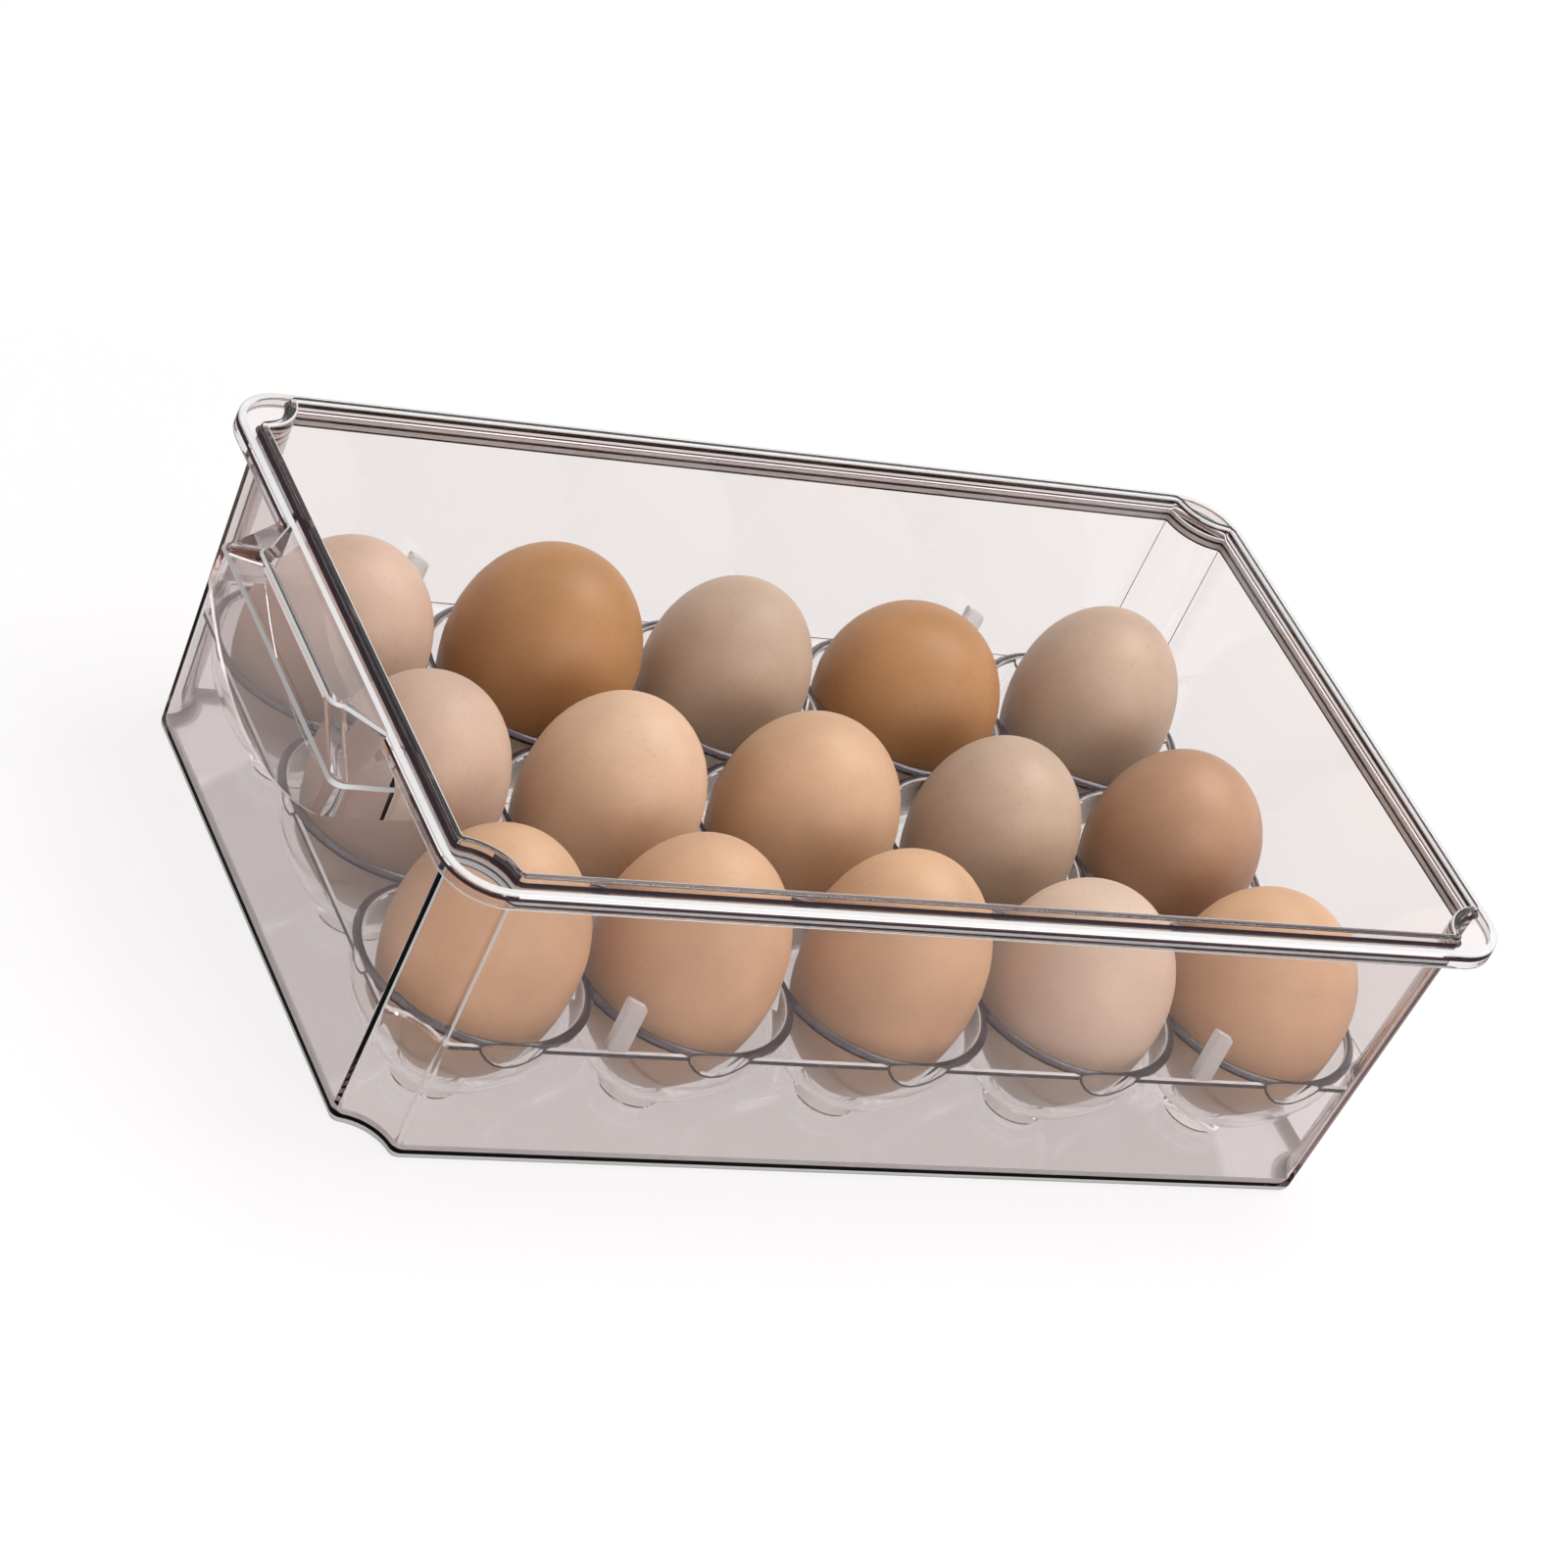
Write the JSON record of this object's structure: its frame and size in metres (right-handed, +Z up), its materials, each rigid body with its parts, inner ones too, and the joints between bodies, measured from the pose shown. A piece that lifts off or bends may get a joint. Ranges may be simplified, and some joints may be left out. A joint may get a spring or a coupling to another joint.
{
  "type": "egg holder tray",
  "caption": "Clear plastic refrigerator bin with a pull handle, holding a lift-out tray of egg cups with a hen's egg in each.",
  "frame": {"origin": "centre of the bin's underside, on the surface that it stands on", "axes": "+X along the long side, away from the pull handle; -Y is the long side that faces the user; +Z up"},
  "size_m": [0.2915, 0.175, 0.0875],
  "materials": {
    "bin_plastic": "clear, polished",
    "tray_plastic": "clear, polished",
    "egg_peach": "eggshell, smooth and matt",
    "egg_cream": "eggshell, smooth and matt",
    "egg_rose": "eggshell, smooth and matt",
    "egg_tan": "eggshell, smooth and matt",
    "egg_orange": "eggshell, smooth and matt",
    "egg_brown": "eggshell, smooth and matt",
    "egg_grey": "eggshell, smooth and matt",
    "egg_ochre": "eggshell, smooth and matt"
  },
  "bodies": {
    "bin_body": {"bin": "bin_plastic", "pull_handle": "bin_plastic"},
    "tray": {"tray_plate": "tray_plastic", "egg_cup_front_1": "tray_plastic", "egg_cup_front_2": "tray_plastic", "egg_cup_front_3": "tray_plastic", "egg_cup_front_4": "tray_plastic", "egg_cup_front_5": "tray_plastic", "egg_cup_middle_1": "tray_plastic", "egg_cup_middle_2": "tray_plastic", "egg_cup_middle_3": "tray_plastic", "egg_cup_middle_4": "tray_plastic", "egg_cup_middle_5": "tray_plastic", "egg_cup_back_1": "tray_plastic", "egg_cup_back_2": "tray_plastic", "egg_cup_back_3": "tray_plastic", "egg_cup_back_4": "tray_plastic", "egg_cup_back_5": "tray_plastic", "lift_tab_front_left": "tray_plastic", "lift_tab_front_right": "tray_plastic", "lift_tab_back_left": "tray_plastic", "lift_tab_back_right": "tray_plastic"},
    "egg_front_1_body": {"egg_front_1": "egg_peach"},
    "egg_front_2_body": {"egg_front_2": "egg_peach"},
    "egg_front_3_body": {"egg_front_3": "egg_peach"},
    "egg_front_4_body": {"egg_front_4": "egg_cream"},
    "egg_front_5_body": {"egg_front_5": "egg_peach"},
    "egg_middle_1_body": {"egg_middle_1": "egg_rose"},
    "egg_middle_2_body": {"egg_middle_2": "egg_tan"},
    "egg_middle_3_body": {"egg_middle_3": "egg_orange"},
    "egg_middle_4_body": {"egg_middle_4": "egg_grey"},
    "egg_middle_5_body": {"egg_middle_5": "egg_brown"},
    "egg_back_1_body": {"egg_back_1": "egg_rose"},
    "egg_back_2_body": {"egg_back_2": "egg_ochre"},
    "egg_back_3_body": {"egg_back_3": "egg_grey"},
    "egg_back_4_body": {"egg_back_4": "egg_ochre"},
    "egg_back_5_body": {"egg_back_5": "egg_grey"}
  },
  "joints": [
    {"name": "tray_lift", "type": "slide", "parent": "bin_body", "child": "tray", "axis": [0, 0, 1], "range_m": [0, 0.09]},
    {"name": "egg_front_1_lift", "type": "slide", "parent": "tray", "child": "egg_front_1_body", "axis": [0, 0, 1], "range_m": [0, 0.09]},
    {"name": "egg_front_2_lift", "type": "slide", "parent": "tray", "child": "egg_front_2_body", "axis": [0, 0, 1], "range_m": [0, 0.09]},
    {"name": "egg_front_3_lift", "type": "slide", "parent": "tray", "child": "egg_front_3_body", "axis": [0, 0, 1], "range_m": [0, 0.09]},
    {"name": "egg_front_4_lift", "type": "slide", "parent": "tray", "child": "egg_front_4_body", "axis": [0, 0, 1], "range_m": [0, 0.09]},
    {"name": "egg_front_5_lift", "type": "slide", "parent": "tray", "child": "egg_front_5_body", "axis": [0, 0, 1], "range_m": [0, 0.09]},
    {"name": "egg_middle_1_lift", "type": "slide", "parent": "tray", "child": "egg_middle_1_body", "axis": [0, 0, 1], "range_m": [0, 0.09]},
    {"name": "egg_middle_2_lift", "type": "slide", "parent": "tray", "child": "egg_middle_2_body", "axis": [0, 0, 1], "range_m": [0, 0.09]},
    {"name": "egg_middle_3_lift", "type": "slide", "parent": "tray", "child": "egg_middle_3_body", "axis": [0, 0, 1], "range_m": [0, 0.09]},
    {"name": "egg_middle_4_lift", "type": "slide", "parent": "tray", "child": "egg_middle_4_body", "axis": [0, 0, 1], "range_m": [0, 0.09]},
    {"name": "egg_middle_5_lift", "type": "slide", "parent": "tray", "child": "egg_middle_5_body", "axis": [0, 0, 1], "range_m": [0, 0.09]},
    {"name": "egg_back_1_lift", "type": "slide", "parent": "tray", "child": "egg_back_1_body", "axis": [0, 0, 1], "range_m": [0, 0.09]},
    {"name": "egg_back_2_lift", "type": "slide", "parent": "tray", "child": "egg_back_2_body", "axis": [0, 0, 1], "range_m": [0, 0.09]},
    {"name": "egg_back_3_lift", "type": "slide", "parent": "tray", "child": "egg_back_3_body", "axis": [0, 0, 1], "range_m": [0, 0.09]},
    {"name": "egg_back_4_lift", "type": "slide", "parent": "tray", "child": "egg_back_4_body", "axis": [0, 0, 1], "range_m": [0, 0.09]},
    {"name": "egg_back_5_lift", "type": "slide", "parent": "tray", "child": "egg_back_5_body", "axis": [0, 0, 1], "range_m": [0, 0.09]}
  ]
}
